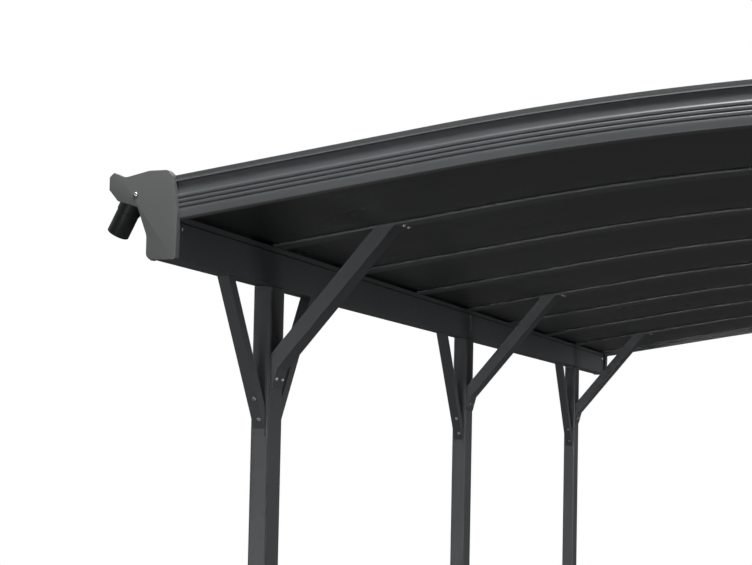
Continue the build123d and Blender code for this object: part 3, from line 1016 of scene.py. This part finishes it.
class CARPORT_OT_anchors(bpy.types.Operator):
    """Sets an anchor with a washer and a nut in each hole of the base plates"""

    bl_idname = "carport.anchors"
    bl_label = "Ground anchors"

    def execute(self, context):
        scene = context.scene
        screw, roof = scene.carport_screw, scene.carport_roof
        zinc = zinc_plated_steel(scene.carport_finish)
        plate = 0.005
        wide, flat, edge = screw.washer_radius, screw.nut_radius, 0.0004
        hole, bore, groove, crest = 0.0055, 0.0045, 0.0045, 0.0050
        washer_top = plate + 0.0016
        nut_top = washer_top + 0.0080
        washer = lathe(
            [
                (hole, plate),
                (wide - edge, plate),
                (wide, (plate + washer_top) / 2),
                (wide - edge, washer_top),
                (hole, washer_top),
            ],
            32,
        )
        nut = lathe(
            [
                (bore, washer_top),
                (flat, washer_top),
                (flat, nut_top - 0.0011),
                (flat - 0.0012, nut_top),
                (bore, nut_top),
            ],
            6,
        )
        turns = np.arange(15)
        thread = np.stack([np.where(turns % 2 == 0, crest, groove), nut_top + turns * 0.0008], axis=-1)
        tip = (0.0036, thread[-1, 1] + 0.001)
        rod = lathe(np.concatenate([[(0.0048, plate)], thread, [tip]]), 20)
        centre_x, hole_across, hole_along = roof.span_half - 0.023, 0.038, 0.060
        for side_name, side in SIDES.items():
            parts = []
            for line in POST_LINES.values():
                for across in (-hole_across, hole_across):
                    for along in (-hole_along, hole_along):
                        shift = np.array([side * centre_x + across, line + along, 0.0])
                        parts += [(points + shift, faces) for points, faces in (washer, nut, rod)]
            make_piece(f"ground_anchors_{side_name}", parts, zinc)
        return {"FINISHED"}


class CARPORT_OT_beam_joints(bpy.types.Operator):
    """Covers the joint between two beam lengths with a slim bright strip on the inner face"""

    bl_idname = "carport.beam_joints"
    bl_label = "Beam joints"

    def execute(self, context):
        scene = context.scene
        roof, finish = scene.carport_roof, scene.carport_finish
        # The strip is coloured a lighter grey than the frame coat.
        coat = powder_coat("light_grey_powder_coat_strip", finish.joint, finish.coat_light, roughness=0.35)
        half, proud, edge, sunk = 0.007, 0.0012, 0.0006, 0.0004
        corners = [(-half, 0.0, edge), (half, 0.0, edge), (half, proud, edge), (-half, proud, edge)]
        strip = round_outline(corners, 4)
        levels = np.array([[2.088], [2.141]])
        for side_name, side in SIDES.items():
            bar = tube_on(side * (roof.inner_face + sunk - strip[:, 1]), strip[:, 0], levels)
            make_piece(f"beam_joint_strip_{side_name}", [bar], coat)
        return {"FINISHED"}


class CARPORT_OT_studio(bpy.types.Operator):
    """Sets the floor, the soft light and the camera"""

    bl_idname = "carport.studio"
    bl_label = "Studio"

    def execute(self, context):
        scene = context.scene
        studio = scene.carport_studio
        half, rear = 30.0, 14.0
        low = -0.001
        corners = [(-half, -half, low), (half, -half, low), (half, rear, low), (-half, rear, low)]
        mesh = bpy.data.meshes.new("studio_floor")
        mesh.from_pydata(corners, [], [[0, 1, 2, 3]])
        floor = bpy.data.objects.new("studio_floor", mesh)
        material, tree, place = new_material("matt_paper_floor")
        shader = add_node(
            tree,
            "ShaderNodeBsdfPrincipled",
            {
                "Base Color": with_alpha(scene.carport_finish.floor, 0.45),
                "Roughness": 0.85,
                "Emission Color": (1.0, 1.0, 1.0, 1.0),
                "Emission Strength": 0.5,
            },
        )
        add_node(tree, "ShaderNodeOutputMaterial", {"Surface": shader.outputs["BSDF"]})
        mesh.materials.append(material)
        scene.collection.objects.link(floor)
        floor.visible_diffuse = False
        floor.visible_glossy = False

        world = scene.world or bpy.data.worlds.new("studio_sky")
        scene.world = world
        world.use_nodes = True
        sky = world.node_tree
        sky.nodes.clear()
        seen = add_node(sky, "ShaderNodeLightPath").outputs["Is Camera Ray"]
        way = add_node(sky, "ShaderNodeTexCoord").outputs["Generated"]
        height = add_node(sky, "ShaderNodeSeparateXYZ", {"Vector": way}).outputs["Z"]
        level = add_node(
            sky,
            "ShaderNodeMapRange",
            {
                "Value": height,
                "From Min": -0.05,
                "From Max": 0.15,
                "To Min": studio.horizon,
                "To Max": studio.sky,
            },
            interpolation_type="SMOOTHSTEP",
        )
        glow = add_node(
            sky,
            "ShaderNodeMapRange",
            {"Value": height, "From Min": -0.5, "From Max": -0.22, "To Min": studio.glow, "To Max": 0.0},
            interpolation_type="SMOOTHSTEP",
        )
        strength = add_node(
            sky, "ShaderNodeMath", {0: level.outputs["Result"], 1: glow.outputs["Result"]}, operation="ADD"
        )
        soft = add_node(
            sky,
            "ShaderNodeBackground",
            {"Color": (1.0, 1.0, 1.0, 1.0), "Strength": strength.outputs["Value"]},
        )
        white = add_node(sky, "ShaderNodeBackground", {"Color": (1.0, 1.0, 1.0, 1.0), "Strength": 1.0})
        mix = add_node(sky, "ShaderNodeMixShader", {0: seen, 1: soft.outputs[0], 2: white.outputs[0]})
        add_node(sky, "ShaderNodeOutputWorld", {"Surface": mix.outputs[0]})

        lights = {
            "key": ((-0.2, -3.8, 8.0), (-0.9, -2.4, 2.2), studio.key, 3.0, 2.4, 180),
            "fill": ((-1.6, -9.5, 0.8), (-1.6, -1.0, 0.8), studio.fill, 3.0, 1.6, 36),
            "side": ((7.5, 1.5, 2.15), (-1.7, 0.5, 1.8), studio.side, 7.0, 1.0, 180),
        }
        for name, (place, target, power, wide, high, spread) in lights.items():
            lamp = bpy.data.lights.new(f"studio_{name}", "AREA")
            lamp.shape = "RECTANGLE"
            lamp.energy, lamp.size, lamp.size_y, lamp.spread = power, wide, high, radians(spread)
            lamp_object = bpy.data.objects.new(f"studio_{name}", lamp)
            aim = (Vector(target) - Vector(place)).to_track_quat("-Z", "Y").to_matrix().to_4x4()
            lamp_object.matrix_world = Matrix.Translation(place) @ aim
            lamp_object.visible_camera = False
            scene.collection.objects.link(lamp_object)

        camera_data = bpy.data.cameras.new("studio_camera")
        camera_data.sensor_width = 36.0
        camera_data.lens = studio.lens
        camera_data.shift_x, camera_data.shift_y = studio.shift
        camera_data.clip_start, camera_data.clip_end = 0.1, 200.0
        camera = bpy.data.objects.new("studio_camera", camera_data)
        ahead = Vector(
            (-sin(studio.yaw) * cos(studio.pitch), cos(studio.yaw) * cos(studio.pitch), sin(studio.pitch))
        )
        across = Vector((cos(studio.yaw), sin(studio.yaw), 0.0))
        upright = across.cross(ahead)
        right = across * cos(studio.roll) + upright * sin(studio.roll)
        up = upright * cos(studio.roll) - across * sin(studio.roll)
        turn = Matrix((right, up, -ahead)).transposed().to_4x4()
        camera.matrix_world = Matrix.Translation(Vector(studio.eye)) @ turn
        scene.collection.objects.link(camera)
        scene.camera = camera
        scene.view_settings.view_transform = "Standard"
        return {"FINISHED"}


OPERATORS = (
    CARPORT_OT_coated_frame,
    CARPORT_OT_rafters,
    CARPORT_OT_roof_sheets,
    CARPORT_OT_arch_mouldings,
    CARPORT_OT_gutter_caps,
    CARPORT_OT_rain_outlets,
    CARPORT_OT_seals,
    CARPORT_OT_screws,
    CARPORT_OT_clamp_screws,
    CARPORT_OT_anchors,
    CARPORT_OT_beam_joints,
    CARPORT_OT_studio,
)


class CARPORT_PT_panel(bpy.types.Panel):
    """Lists the carport's sizes, colours and pieces"""

    bl_idname = "CARPORT_PT_panel"
    bl_label = "Arched carport"
    bl_space_type = "VIEW_3D"
    bl_region_type = "UI"
    bl_category = "Carport"

    def draw(self, context):
        for attribute, group in PROPERTY_GROUPS.items():
            box = self.layout.box()
            box.label(text=group.__doc__)
            for name in group.__annotations__:
                box.prop(getattr(context.scene, attribute), name)
        for operator in OPERATORS:
            self.layout.operator(operator.bl_idname)


def register():
    """Registers the properties, the operators and the panel."""
    for attribute, group in PROPERTY_GROUPS.items():
        bpy.utils.register_class(group)
        setattr(bpy.types.Scene, attribute, PointerProperty(type=group))
    for operator in OPERATORS:
        bpy.utils.register_class(operator)
    bpy.utils.register_class(CARPORT_PT_panel)


def unregister():
    """Takes back what register did."""
    bpy.utils.unregister_class(CARPORT_PT_panel)
    for operator in reversed(OPERATORS):
        bpy.utils.unregister_class(operator)
    for attribute, group in PROPERTY_GROUPS.items():
        delattr(bpy.types.Scene, attribute)
        bpy.utils.unregister_class(group)


def main():
    register()
    bpy.ops.carport.coated_frame()
    bpy.ops.carport.rafters()
    bpy.ops.carport.roof_sheets()
    bpy.ops.carport.arch_mouldings()
    bpy.ops.carport.gutter_caps()
    bpy.ops.carport.rain_outlets()
    bpy.ops.carport.seals()
    bpy.ops.carport.screws()
    bpy.ops.carport.clamp_screws()
    bpy.ops.carport.anchors()
    bpy.ops.carport.beam_joints()
    bpy.ops.carport.studio()


if __name__ == "__main__":
    main()
